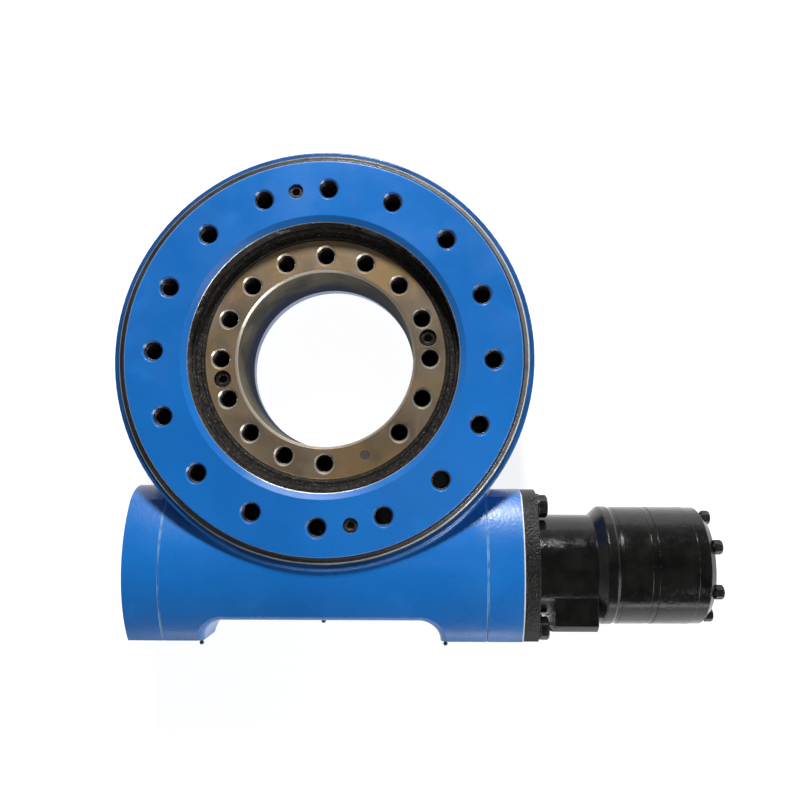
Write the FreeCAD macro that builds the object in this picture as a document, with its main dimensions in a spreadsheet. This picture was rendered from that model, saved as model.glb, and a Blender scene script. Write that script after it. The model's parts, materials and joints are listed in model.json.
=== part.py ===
import FreeCAD, Part
import math
import os
from FreeCAD import Placement, Rotation, Vector
import Sketcher

# Slewing drive: a ring bearing turned by an enclosed worm and an oil motor.
# Millimetres. The origin is on the slewing axis at the base plate's underside.
# +Z runs up the slewing axis, +X along the worm towards the motor.

os.makedirs("parts", exist_ok=True)
doc = FreeCAD.newDocument("slewing_drive")
sheet = doc.addObject("Spreadsheet::Sheet", "Sizes")

NUMBERS = {
    # ring bearing
    "face_top": 104, "rim_top": 97.5, "ledge_height": 88, "inner_top": 86, "plate_top": 14, "mid_height": 49.5,
    "bore_radius": 71.4, "inner_outer_radius": 102.7, "seal_inner_radius": 98.3,
    "gear_inner_radius": 105.3, "gear_seal_radius": 108.3, "race_radius": 104,
    "ball_radius": 9, "race_gap": 0.3, "ball_count": 28,
    "flange_radius": 158.3, "flange_under": 84, "rim_radius": 167.8, "rim_inner_radius": 163.2,
    "outer_hole_circle": 135, "outer_hole_count": 16, "outer_hole_phase": -1.6,
    "inner_hole_circle": 85, "inner_hole_count": 16, "thread_radius": 7, "mouth_radius": 8.65,
    "outer_hole_depth": 24, "ring_screw_angle": 11.25, "plug_angle": 292.5,
    # worm gear
    "tooth_count": 61, "module_size": 4.7, "worm_pitch_radius": 24.65, "tooth_half_width": 15,
    "flank_play": 0.25, "worm_root_radius": 19, "worm_tip_radius": 29.35, "worm_half_length": 48,
    # worm housing
    "end_plane": 159, "crown_radius": 93, "half_height": 44, "outer_side": 59,
    "waist_side": 41, "waist_left": -98, "waist_right": 93, "cove_radius": 18, "waist_round": 6,
    "tunnel_radius": 30.2, "bearing_seat": 90, "casting_blend": 2.8, "rim_round": 1,
    "left_bore": 15, "left_outer": 31, "left_width": 17.25, "left_mean": 23.2,
    "right_bore": 20, "right_outer": 34, "right_width": 19, "right_mean": 26.6, "roller_count": 18,
    # motor
    "adapter_thickness": 12, "neck_radius": 41, "neck_end": 216.5, "barrel_start": 223.5,
    "motor_radius": 47.5, "body_end": 257.5, "plate_end": 262.7, "gear_set_end": 293,
    "motor_end": 307, "roll_circle": 33, "roll_radius": 6.5, "eccentricity": 2.8,
    "roll_count": 7, "motor_bolt_circle": 40,
}
for row, (word, number) in enumerate(NUMBERS.items(), start=1):
    sheet.set("A%d" % row, word)
    sheet.set("B%d" % row, str(number))
    sheet.setAlias("B%d" % row, word)
doc.recompute()


class Size:
    """A length, angle or count together with the sheet formula that gives it."""

    def __init__(self, value, text):
        self.value = float(value)
        self.text = text

    def __add__(self, other):
        other = size(other)
        return Size(self.value + other.value, "(%s + %s)" % (self.text, other.text))

    def __sub__(self, other):
        other = size(other)
        return Size(self.value - other.value, "(%s - %s)" % (self.text, other.text))

    def __mul__(self, other):
        other = size(other)
        return Size(self.value * other.value, "(%s * %s)" % (self.text, other.text))

    def __truediv__(self, other):
        other = size(other)
        return Size(self.value / other.value, "(%s / %s)" % (self.text, other.text))

    def __neg__(self):
        return Size(-self.value, "(0 - %s)" % self.text)

    __radd__ = __add__
    __rmul__ = __mul__

    def __rsub__(self, other):
        return size(other) - self

    def __rtruediv__(self, other):
        return size(other) / self


def size(thing):
    if isinstance(thing, Size):
        return thing
    return Size(thing, "(%.9g)" % thing)


def of(word):
    return Size(float(sheet.get(word)), "Sizes." + word)


def sine(angle):
    angle = size(angle)
    return Size(math.sin(math.radians(angle.value)), "sin(%s * 1 deg)" % angle.text)


def cosine(angle):
    angle = size(angle)
    return Size(math.cos(math.radians(angle.value)), "cos(%s * 1 deg)" % angle.text)


def tangent(angle):
    return sine(angle) / cosine(angle)


def bind(thing, prop, amount):
    thing.setExpression(prop, size(amount).text)


FLAT = Rotation()
ALONG_X = Rotation(Vector(1, 1, 1), 120)   # local Z to +X, local X to +Y, local Y to +Z
FACE_Y = Rotation(Vector(1, 0, 0), 90)     # local Z to -Y
axis_y = -(of("tooth_count") * of("module_size") / 2 + of("worm_pitch_radius"))
axis_z = of("mid_height")


def place(thing, at, turn=FLAT):
    thing.Placement = Placement(Vector(*(size(c).value for c in at)), turn)
    for letter, amount in zip("xyz", at):
        bind(thing, "Placement.Base." + letter, amount)
    return thing


def on_shaft(thing, along, side=0, up=0, turn=ALONG_X):
    return place(thing, (along, axis_y + side, axis_z + up), turn)


def make(kind, name, sizes, at=(0, 0, 0), turn=FLAT):
    thing = doc.addObject(kind, name)
    for prop, amount in sizes.items():
        bind(thing, prop, amount)
    return place(thing, at, turn)


def cylinder(name, radius, height, at=(0, 0, 0), turn=FLAT):
    return make("Part::Cylinder", name, {"Radius": radius, "Height": height}, at, turn)


def cone(name, low, high, height, at=(0, 0, 0), turn=FLAT):
    return make("Part::Cone", name, {"Radius1": low, "Radius2": high, "Height": height}, at, turn)


def torus(name, ring, tube, at=(0, 0, 0), turn=FLAT):
    return make("Part::Torus", name, {"Radius1": ring, "Radius2": tube}, at, turn)


def box(name, length, width, height, at=(0, 0, 0), turn=FLAT):
    return make("Part::Box", name, {"Length": length, "Width": width, "Height": height}, at, turn)


def hexagon(name, across_flats, height, at=(0, 0, 0), turn=FLAT):
    thing = make("Part::Prism", name, {"Circumradius": size(across_flats) / math.sqrt(3),
                                       "Height": height}, at, turn)
    thing.Polygon = 6
    return thing


def fuse(name, parts):
    thing = doc.addObject("Part::MultiFuse", name)
    thing.Shapes = parts
    return thing


def common(name, parts):
    thing = doc.addObject("Part::MultiCommon", name)
    thing.Shapes = parts
    return thing


def cut(name, base, tools):
    """Take each tool from the base in turn."""
    for count, tool in enumerate(tools):
        thing = doc.addObject("Part::Cut", "%s_cut%d" % (name, count))
        thing.Base = base
        thing.Tool = tool
        base = thing
    return base


def group(name, parts):
    thing = doc.addObject("Part::Compound", name)
    thing.Links = parts
    return thing


def outline(sketch, points):
    """Close a run of straight lines whose corners are held at sheet sizes."""
    corners = [(size(x), size(y)) for x, y in points]
    spots = [Vector(x.value, y.value, 0) for x, y in corners]
    total = len(spots)
    first = sketch.GeometryCount
    for k in range(total):
        sketch.addGeometry(Part.LineSegment(spots[k], spots[(k + 1) % total]), False)
    for k in range(total):
        follower = first + (k + 1) % total
        sketch.addConstraint(Sketcher.Constraint("Coincident", first + k, 2, follower, 1))
    for k, (x, y) in enumerate(corners):
        for kind, amount, line in (("DistanceX", x, -2), ("DistanceY", y, -1)):
            if amount.value == 0:
                sketch.addConstraint(Sketcher.Constraint("PointOnObject", first + k, 1, line))
                continue
            number = sketch.addConstraint(
                Sketcher.Constraint(kind, -1, 1, first + k, 1, amount.value))
            sketch.setExpression("Constraints[%d]" % number, amount.text)


def section(name, points, turn=Rotation(Vector(1, 0, 0), 90)):
    sketch = doc.addObject("Sketcher::SketchObject", name)
    sketch.Placement = Placement(Vector(), turn)
    outline(sketch, points)
    return sketch


def spin(name, sketch):
    thing = doc.addObject("Part::Revolution", name)
    thing.Source = sketch
    thing.Axis = Vector(0, 0, 1)
    thing.Base = Vector(0, 0, 0)
    thing.Angle = 360
    thing.Solid = True
    return thing


def turned(name, points):
    """A turned piece: (radius, height) corners swung about the local Z axis."""
    return spin(name, section(name + "_outline", points))


def polar(radius, angle):
    return size(radius) * cosine(angle), size(radius) * sine(angle)


def name_part(thing, label):
    thing.Label = label
    NODES.append((label, thing))
    return thing


NODES = []

# ---------------------------------------------------------------- inner ring
half_pitch = 180 / of("inner_hole_count")
ring_gap = of("race_gap")
inner_body = doc.addObject("PartDesign::Body", "inner_ring_body")


def body_plane(body, role):
    return [part for part in body.Origin.OriginFeatures if part.Role == role][0]


def body_sketch(body, name, role):
    sketch = body.newObject("Sketcher::SketchObject", name)
    sketch.AttachmentSupport = (body_plane(body, role), [""])
    sketch.MapMode = "FlatFace"
    return sketch


def body_turn(body, kind, name, sketch):
    feature = body.newObject(kind, name)
    feature.Profile = sketch
    feature.ReferenceAxis = (sketch, ["V_Axis"])
    feature.Angle = 360
    body.Tip = feature
    doc.recompute()
    return feature


ring_sketch = body_sketch(inner_body, "inner_ring_profile", "XZ_Plane")
outline(ring_sketch, [
    (of("bore_radius") + 1.5, of("plate_top")),
    (of("inner_outer_radius") - 1, of("plate_top")),
    (of("inner_outer_radius"), of("plate_top") + 1),
    (of("inner_outer_radius"), of("inner_top") - 8),
    (of("seal_inner_radius"), of("inner_top") - 8),
    (of("seal_inner_radius"), of("inner_top") - 1),
    (of("seal_inner_radius") - 1, of("inner_top")),
    (of("bore_radius") + 2, of("inner_top")),
    (of("bore_radius"), of("inner_top") - 2),
    (of("bore_radius"), of("plate_top") + 1.5),
])
body_turn(inner_body, "PartDesign::Revolution", "inner_ring_solid", ring_sketch)
race_sketch = body_sketch(inner_body, "inner_race_profile", "XZ_Plane")
race_sketch.addGeometry(Part.Circle(Vector(of("race_radius").value, axis_z.value, 0),
                                    Vector(0, 0, 1), 9.3), False)
for kind, amount in (("DistanceX", of("race_radius")), ("DistanceY", axis_z)):
    spot = race_sketch.addConstraint(Sketcher.Constraint(kind, -1, 1, 0, 3, amount.value))
    race_sketch.setExpression("Constraints[%d]" % spot, amount.text)
groove_radius = of("ball_radius") + ring_gap
spot = race_sketch.addConstraint(Sketcher.Constraint("Radius", 0, groove_radius.value))
race_sketch.setExpression("Constraints[%d]" % spot, groove_radius.text)
body_turn(inner_body, "PartDesign::Groove", "inner_race", race_sketch)

inner_tools = []
for k in range(int(of("inner_hole_count").value)):
    angle = half_pitch * 2 * k
    x, y = polar(of("inner_hole_circle"), angle)
    if k == 13:
        continue
    inner_tools.append(cylinder("inner_thread", of("thread_radius"), 80, (x, y, 10)))
    inner_tools.append(cone("inner_mouth", of("thread_radius"), of("mouth_radius") + 0.5, 2.15,
                            (x, y, of("inner_top") - 1.65)))
inner_seats = []
screw_shanks = []
for angle in (of("ring_screw_angle"), of("ring_screw_angle") + 180):
    x, y = polar(of("inner_hole_circle"), angle)
    inner_seats.append(cylinder("screw_way", 4.5, 80, (x, y, 10)))
    inner_seats.append(cylinder("screw_seat", 7, 12, (x, y, of("inner_top") - 10)))
    screw_shanks.append((x, y))
plug_radial = Rotation(Vector(0, 0, 1), of("plug_angle").value) * Rotation(Vector(0, 1, 0), 90)
plug_x, plug_y = polar(of("bore_radius") - 3, of("plug_angle"))
pin_x, pin_y = polar(of("inner_hole_circle"), of("plug_angle"))
inner_ring = cut("inner_ring", inner_body, [
    group("inner_threads", inner_tools[0::2]), group("inner_mouths", inner_tools[1::2]),
    group("screw_ways", inner_seats[0::2]), group("screw_seats", inner_seats[1::2]),
    cylinder("loading_hole", 9.6, 40, (plug_x, plug_y, axis_z), plug_radial),
    cone("pin_hole", 3.3, 3.9, 54, (pin_x, pin_y, of("inner_top") - 53)),
])
name_part(inner_ring, "inner_ring")



def socket_screw(name, shank, length, head, head_height, at, turn=FLAT):
    """Cap screw with its head's top at the given point, pointing down its local Z."""
    solid = turned(name, [
        (0, -head_height - length), (shank - 0.6, -head_height - length),
        (shank, 0.6 - head_height - length), (shank, -head_height), (head, -head_height),
        (head, -0.7), (head - 0.7, 0), (0, 0)])
    place(solid, at, turn)
    socket = hexagon(name + "_socket", head, head_height, at, turn)
    sink = turn.multVec(Vector(0, 0, -0.55 * head_height))
    place(socket, (size(at[0]) + sink.x, size(at[1]) + sink.y, size(at[2]) + sink.z), turn)
    return cut(name, solid, [socket])


name_part(group("inner_ring_screws", [
    socket_screw("inner_ring_screw", 3.9, 71, 6.5, 8, (x, y, of("inner_top") - 2))
    for x, y in screw_shanks]), "inner_ring_screws")

plug_end = torus("plug_race", of("race_radius"), groove_radius, (0, 0, axis_z))
name_part(cut("loading_plug", common("plug_body", [
    cylinder("plug_rod", 9.55, 40, (plug_x, plug_y, axis_z), plug_radial),
    cut("plug_sleeve", cylinder("plug_outside", of("inner_outer_radius"), 30, (0, 0, axis_z - 15)),
        [cylinder("plug_inside", of("bore_radius") + 0.6, 30, (0, 0, axis_z - 15))])]),
    [plug_end, cone("plug_pin_hole", 3.3, 3.9, 54, (pin_x, pin_y, of("inner_top") - 53))]),
    "loading_plug")
name_part(cone("taper_pin", 3.27, 3.84, 51.5, (pin_x, pin_y, of("inner_top") - 52)), "taper_pin")

# ---------------------------------------------------------------- seals
seal_low = of("inner_top") - 7
name_part(turned("inner_seal", [
    (of("seal_inner_radius") + 0.05, seal_low), (107.6, seal_low), (108, seal_low + 0.6),
    (108, seal_low + 8.2), (107.4, seal_low + 9), (105.8, seal_low + 9), (104.8, seal_low + 6.2),
    (101.4, seal_low + 6.2), (100.4, seal_low + 7), (99.2, seal_low + 7),
    (of("seal_inner_radius") + 0.05, seal_low + 6.2)]), "inner_seal")
ledge = of("ledge_height")
name_part(turned("outer_seal", [
    (of("flange_radius") + 0.7, ledge + 0.5), (of("rim_inner_radius") - 1.2, ledge + 0.02),
    (of("rim_inner_radius") - 0.04, ledge + 1), (of("rim_inner_radius") - 0.04, ledge + 12),
    (of("rim_inner_radius") - 0.9, ledge + 12.8), (of("rim_inner_radius") - 3.2, ledge + 12.8),
    (of("flange_radius") + 0.5, ledge + 14), (of("flange_radius") + 0.5, ledge + 9)]),
    "outer_seal")
name_part(turned("lower_seal", [
    (109, of("plate_top") - 4), (117, of("plate_top") - 4), (117, of("plate_top") + 0.6),
    (114, of("plate_top") + 0.6), (112.6, of("plate_top") + 2.1), (111.4, of("plate_top") + 2.1),
    (112, of("plate_top") + 0.4), (109, of("plate_top") + 0.4)]), "lower_seal")

# ---------------------------------------------------------------- gear ring
tooth_low = axis_z - of("tooth_half_width")
tooth_high = axis_z + of("tooth_half_width")
pitch_radius = of("tooth_count") * of("module_size") / 2
tip_radius = pitch_radius + of("module_size") - 0.05
root_radius = pitch_radius - 1.22 * of("module_size")
flange = of("flange_radius")
ring_blank = turned("gear_ring_blank", [
    (of("gear_inner_radius"), of("plate_top") + 3.4), (of("gear_inner_radius") + 1, of("plate_top") + 2.4),
    (root_radius - 2, of("plate_top") + 2.4), (root_radius - 1, of("plate_top") + 3.4),
    (root_radius - 1, tooth_low - 1), (tip_radius - 1.2, tooth_low), (tip_radius, tooth_low + 1.2),
    (tip_radius, tooth_high - 1.2), (tip_radius - 1.2, tooth_high), (root_radius + 3.4, tooth_high),
    (root_radius + 3.4, tooth_high + 3.5), (root_radius + 7.4, tooth_high + 7.5),
    (root_radius + 7.4, of("flange_under")), (flange - 1, of("flange_under")),
    (flange, of("flange_under") + 1), (flange, of("face_top") - 1), (flange - 1, of("face_top")),
    (of("gear_seal_radius") + 5, of("face_top")), (of("gear_seal_radius"), of("face_top") - 3.6),
    (of("gear_seal_radius"), seal_low - 0.4), (of("gear_inner_radius"), seal_low - 0.4)])

LEAN = math.degrees(math.atan2(of("module_size").value / 2, of("worm_pitch_radius").value))
base_cosine = math.cos(math.radians(20))


def space_half_width(radius, reference):
    """Half the gap between two involute teeth at a radius, as a share of a sheet length."""
    def involute(angle):
        return math.tan(angle) - angle

    share = radius.value / reference.value
    swell = involute(math.acos(min(1.0, base_cosine / share))) - involute(math.radians(20))
    return radius * (math.pi / 2 / of("tooth_count") + swell) + of("flank_play")


slot_levels = [root_radius, pitch_radius - 0.7 * of("module_size"), pitch_radius,
               pitch_radius + 0.55 * of("module_size"), tip_radius + 0.8]
right = [(space_half_width(r, pitch_radius), -r) for r in slot_levels]
left = [(-w, y) for w, y in reversed(right)]
slot_sketch = section("slot_outline", right + left, FLAT)
slant = Vector(math.sin(math.radians(LEAN)), 0, math.cos(math.radians(LEAN)))
slot_tools = []
for k in range(int(of("tooth_count").value)):
    slot = doc.addObject("Part::Extrusion", "tooth_space")
    slot.Base = slot_sketch
    slot.Dir = slant
    slot.DirMode = "Custom"
    bind(slot, "LengthFwd", of("tooth_half_width") + 3)
    bind(slot, "LengthRev", of("tooth_half_width") + 3)
    slot.Solid = True
    place(slot, (0, 0, axis_z), Rotation(Vector(0, 0, 1), 360 * k / of("tooth_count").value))
    slot_tools.append(slot)

outer_threads = []
outer_mouths = []
for k in range(int(of("outer_hole_count").value)):
    x, y = polar(of("outer_hole_circle"), of("outer_hole_phase") + 360 * k / of("outer_hole_count"))
    depth = of("outer_hole_depth")
    outer_threads.append(cylinder("outer_thread", of("thread_radius"), depth + 1,
                                  (x, y, of("face_top") - depth)))
    outer_mouths.append(cone("outer_mouth", of("thread_radius"), of("mouth_radius") + 0.5, 2.15,
                             (x, y, of("face_top") - 1.65)))
plug_spots = []
plug_ways = []
plug_seats = []
for turn_by in (4, 12):
    angle = of("outer_hole_phase") + (turn_by + 0.5) * 360 / of("outer_hole_count")
    x, y = polar(of("outer_hole_circle"), angle)
    plug_spots.append((x, y))
    plug_ways.append(cylinder("grease_way", 2, 30, (x, y, of("face_top") - 30)))
    plug_seats.append(cylinder("grease_seat", 6, 12, (x, y, of("face_top") - 11)))
gear_ring = cut("gear_ring", ring_blank, [
    torus("gear_race", of("race_radius"), groove_radius, (0, 0, axis_z)),
    group("tooth_spaces", slot_tools), group("outer_threads", outer_threads),
    group("outer_mouths", outer_mouths), group("grease_ways", plug_ways),
    group("grease_seats", plug_seats)])
name_part(gear_ring, "gear_ring")
name_part(group("ring_grease_plugs", [
    cut("grease_plug", cylinder("grease_plug_body", 5.9, 8, (x, y, of("face_top") - 10)),
        [hexagon("grease_plug_socket", 6, 5, (x, y, of("face_top") - 6))])
    for x, y in plug_spots]), "ring_grease_plugs")

# ---------------------------------------------------------------- balls and spacers
ball_step = 360 / of("ball_count")
balls = []
spacers = []
for k in range(int(of("ball_count").value)):
    x, y = polar(of("race_radius"), ball_step * k)
    balls.append(make("Part::Sphere", "ball", {"Radius": of("ball_radius")}, (x, y, axis_z)))
    middle = ball_step * (k + 0.5)
    chord_radius = of("race_radius") * cosine(ball_step / 2)
    turn = Rotation(Vector(0, 0, 1), middle.value) * Rotation(Vector(1, 0, 0), -90)
    lead = polar(4.6, middle + 90)
    x, y = polar(chord_radius, middle)
    spacer = cylinder("spacer_body", 6.2, 9.2, (x - lead[0], y - lead[1], axis_z), turn)
    sides = []
    for way in (0, 1):
        x, y = polar(of("race_radius"), ball_step * (k + way))
        sides.append(make("Part::Sphere", "spacer_cup", {"Radius": of("ball_radius") + 0.15},
                          (x, y, axis_z)))
    spacers.append(cut("ball_spacer", spacer, sides))
name_part(group("balls", balls), "balls")
name_part(group("ball_spacers", spacers), "ball_spacers")

# ---------------------------------------------------------------- housing
rim = of("rim_radius")
ring_wall = doc.addObject("Part::Fillet", "ring_wall")
ring_wall.Base = turned("ring_wall_body", [(0, 0), (rim - 2, 0), (rim, 2), (rim, of("rim_top")),
                                           (0, of("rim_top"))])
end = of("end_plane")
crown_drop = of("crown_radius") - of("half_height")
LEFT_NOSE = {"flat": 50, "centre": 29, "radius": 36.6}
RIGHT_NOSE = {"flat": 56, "centre": 5.9, "radius": 56.4}
SEAM_OUTSIDE = ALONG_X * Rotation(Vector(0, 0, 1), 180)


def crowned_bar(name, start, length, nose, inset=0):
    """A bar along the worm: domed above and below, flat outside, rounded towards the ring."""
    low_side = axis_y - of("outer_side") + inset
    return common(name, [
        on_shaft(cylinder(name + "_top", of("crown_radius") - inset, length), start, 0, -crown_drop),
        on_shaft(cylinder(name + "_foot", of("crown_radius") - inset, length), start, 0, crown_drop),
        fuse(name + "_plan", [
            box(name + "_flat", length, of("outer_side") + nose["flat"] - 2 * size(inset),
                2 * of("half_height"), (start, low_side, axis_z - of("half_height"))),
            on_shaft(cylinder(name + "_nose", nose["radius"] - size(inset), length), start,
                     nose["centre"], 0, SEAM_OUTSIDE)])])


waist_low = axis_y - of("waist_side")
waist_length = of("waist_right") - of("waist_left")
round_corner = of("cove_radius")
waist = fuse("waist", [
    box("waist_deep", waist_length - 2 * round_corner, 60, 110,
        (of("waist_left") + round_corner, waist_low - 60, -5)),
    box("waist_wide", waist_length, 60 - round_corner, 110, (of("waist_left"), waist_low - 60, -5)),
    cylinder("waist_corner_left", round_corner, 110,
             (of("waist_left") + round_corner, waist_low - round_corner, -5)),
    cylinder("waist_corner_right", round_corner, 110,
             (of("waist_right") - round_corner, waist_low - round_corner, -5))])
worm_case = cut("worm_case", fuse("worm_case_bars", [
    crowned_bar("bar_left", -end, end, LEFT_NOSE), crowned_bar("bar_right", 0, end, RIGHT_NOSE)]),
    [waist])
doc.recompute()


def edge_points(edge):
    span = edge.LastParameter - edge.FirstParameter
    return [edge.valueAt(edge.FirstParameter + span * k / 8) for k in range(9)]


def edges_where(shape, test):
    return [number for number, edge in enumerate(shape.Edges, start=1)
            if all(test(point) for point in edge_points(edge))]


def on_rim(point):
    return (abs(math.hypot(point.x, point.y) - rim.value) < 0.02
            and abs(point.z - of("rim_top").value) < 0.02)


def on_waist_edge(point):
    """True along the crowned top and bottom edges of the waist."""
    return (of("waist_left").value - 0.02 < point.x < of("waist_right").value + 0.02
            and (axis_y - of("outer_side")).value - 0.02 < point.y < waist_low.value + 0.02
            and abs(point.z - axis_z.value) > 20)


def meets_ring_wall(point):
    """True where the worm case runs into the ring wall."""
    return (abs(math.hypot(point.x, point.y) - rim.value) < 0.02
            and 3 < point.z < of("rim_top").value - 3)


ring_wall.Edges = [(number, of("rim_round").value, of("rim_round").value)
                   for number in edges_where(ring_wall.Base.Shape, on_rim)]
rounded_case = doc.addObject("Part::Fillet", "rounded_case")
rounded_case.Base = worm_case
rounded_case.Edges = [(number, of("waist_round").value, of("waist_round").value)
                      for number in edges_where(worm_case.Shape, on_waist_edge)]
shell = fuse("shell", [ring_wall, rounded_case])
doc.recompute()
blend = doc.addObject("Part::Fillet", "casting_blend")
blend.Base = shell
blend.Edges = [(number, of("casting_blend").value, of("casting_blend").value)
               for number in edges_where(shell.Shape, meets_ring_wall)]
cavity = turned("cavity", [
    (0, of("plate_top")), (150.5, of("plate_top")), (150.5, 82.6), (flange + 1.4, 82.6),
    (flange + 1.4, ledge), (of("rim_inner_radius"), ledge),
    (of("rim_inner_radius"), of("rim_top") + 1), (0, of("rim_top") + 1)])
left_outer = of("left_outer")
right_outer = of("right_outer")
seat = of("bearing_seat")
way_holes = []
for k in range(int(of("inner_hole_count").value)):
    if k == 13:
        continue
    x, y = polar(of("inner_hole_circle"), half_pitch * 2 * k)
    way_holes.append(cylinder("plate_hole", 8.75, 20, (x, y, -2)))
CORNERS = [(sx * 48.5, sy * 19.5) for sx in (-1, 1) for sy in (-1, 1)]
cover_angles = [30 + 60 * k for k in range(6)]
line_cut = cut("line_band", fuse("line_slabs", [
    box("line_slab_left", 0.8, 140, 100, (-130.4, axis_y - 70, axis_z - 50)),
    box("line_slab_right", 0.8, 140, 100, (129.6, axis_y - 70, axis_z - 50))]), [
        crowned_bar("line_core_left", -140, 20, LEFT_NOSE, 0.5),
        crowned_bar("line_core_right", 120, 20, RIGHT_NOSE, 0.5)])
band_keep = cut("band_outside", line_cut, [cylinder("ring_zone", rim + 1, 120, (0, 0, -5))])
outer_y = axis_y - of("outer_side")
NIPPLES = [(-105, outer_y), (-3.5, waist_low), (97.5, outer_y)]
shell_tools = [
    cavity,
    cylinder("plate_bore", of("bore_radius") + 1.1, 20, (0, 0, -2)),
    turned("lower_seal_groove", [(108.9, of("plate_top") - 4.05), (117.1, of("plate_top") - 4.05),
                                 (117.1, of("plate_top") + 1), (108.9, of("plate_top") + 1)]),
    on_shaft(cylinder("tunnel", of("tunnel_radius"), 2 * end + 2), -end - 1),
    on_shaft(cylinder("left_seat", left_outer, end + 1 - seat), -end - 1),
    on_shaft(cylinder("right_seat", right_outer, end + 1 - seat), seat),
    on_shaft(cylinder("cover_seat", 40.2, 10), -end - 1),
    group("plate_holes", way_holes),
    group("plate_threads", [cylinder("plate_thread", 3.95, 20, (x, y, -2))
                            for x, y in screw_shanks]),
    group("flange_threads", [on_shaft(cylinder("flange_thread", 5.05, 30), end - 28, dy, dz)
                             for dy, dz in CORNERS]),
    group("cover_threads", [on_shaft(cylinder("cover_thread", 2.53, 20), -end + 7,
                                     *polar(35.4, a)) for a in cover_angles]),
    group("nipple_threads", [cylinder("nipple_thread", 2.6, 36, (x, y - 1, axis_z),
                                      Rotation(Vector(1, 0, 0), -90)) for x, y in NIPPLES]),
    band_keep,
]
name_part(cut("housing", blend, shell_tools), "housing")

# ---------------------------------------------------------------- worm
worm_body = doc.addObject("PartDesign::Body", "worm_shaft_body")
half = of("worm_half_length")
worm_root = of("worm_root_radius")
tip = of("worm_tip_radius")
left_face = -(seat + of("left_width"))
right_face = seat + of("right_width")
worm_sketch = body_sketch(worm_body, "worm_profile", "XZ_Plane")
outline(worm_sketch, [
    (0, left_face - 4), (of("left_bore") - 1, left_face - 4), (of("left_bore"), left_face - 3),
    (of("left_bore"), -seat), (worm_root - 0.5, -seat), (worm_root - 0.5, -half - 6),
    (worm_root - 0.2, -half - 5), (worm_root - 0.2, -half - 1), (worm_root + 1, -half),
    (tip, -half + 7), (tip, half - 7), (worm_root + 1, half), (worm_root - 0.2, half + 1),
    (worm_root - 0.2, half + 22), (of("right_bore") + 3, half + 26), (of("right_bore") + 3, seat),
    (of("right_bore"), seat), (of("right_bore"), 149), (of("right_bore") - 1, 150), (11.06, 150),
    (11.06, 118), (0, 116)])
body_turn(worm_body, "PartDesign::Revolution", "worm_solid", worm_sketch)
worm_pitch = math.pi * of("module_size")
start = -3.5 * worm_pitch
thread_tip = worm_pitch / 4 - of("module_size") * tangent(20)
groove_top = worm_pitch / 2 - thread_tip + tangent(20)
groove_low = worm_pitch / 4 - (of("worm_pitch_radius") - worm_root) * tangent(20)
groove_sketch = body_sketch(worm_body, "thread_groove", "XZ_Plane")
outline(groove_sketch, [(worm_root, start - groove_low), (tip + 1, start - groove_top),
                        (tip + 1, start + groove_top), (worm_root, start + groove_low)])
thread = worm_body.newObject("PartDesign::SubtractiveHelix", "worm_thread")
thread.Profile = groove_sketch
thread.ReferenceAxis = (groove_sketch, ["V_Axis"])
thread.Mode = 0
bind(thread, "Pitch", worm_pitch)
bind(thread, "Height", 7 * worm_pitch)
thread.LeftHanded = False
thread.Reversed = False
worm_body.Tip = thread
key_way = worm_body.newObject("PartDesign::SubtractiveBox", "worm_keyway")
key_way.AttachmentSupport = (body_plane(worm_body, "XY_Plane"), [""])
key_way.MapMode = "FlatFace"
for prop, amount in (("Length", 14.2), ("Width", 8), ("Height", 31)):
    bind(key_way, prop, amount)
for letter, amount in zip("xyz", (0, -4, 120)):
    bind(key_way, "AttachmentOffset.Base." + letter, amount)
worm_body.Tip = key_way
on_shaft(worm_body, 0)
name_part(worm_body, "worm_shaft")


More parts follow.
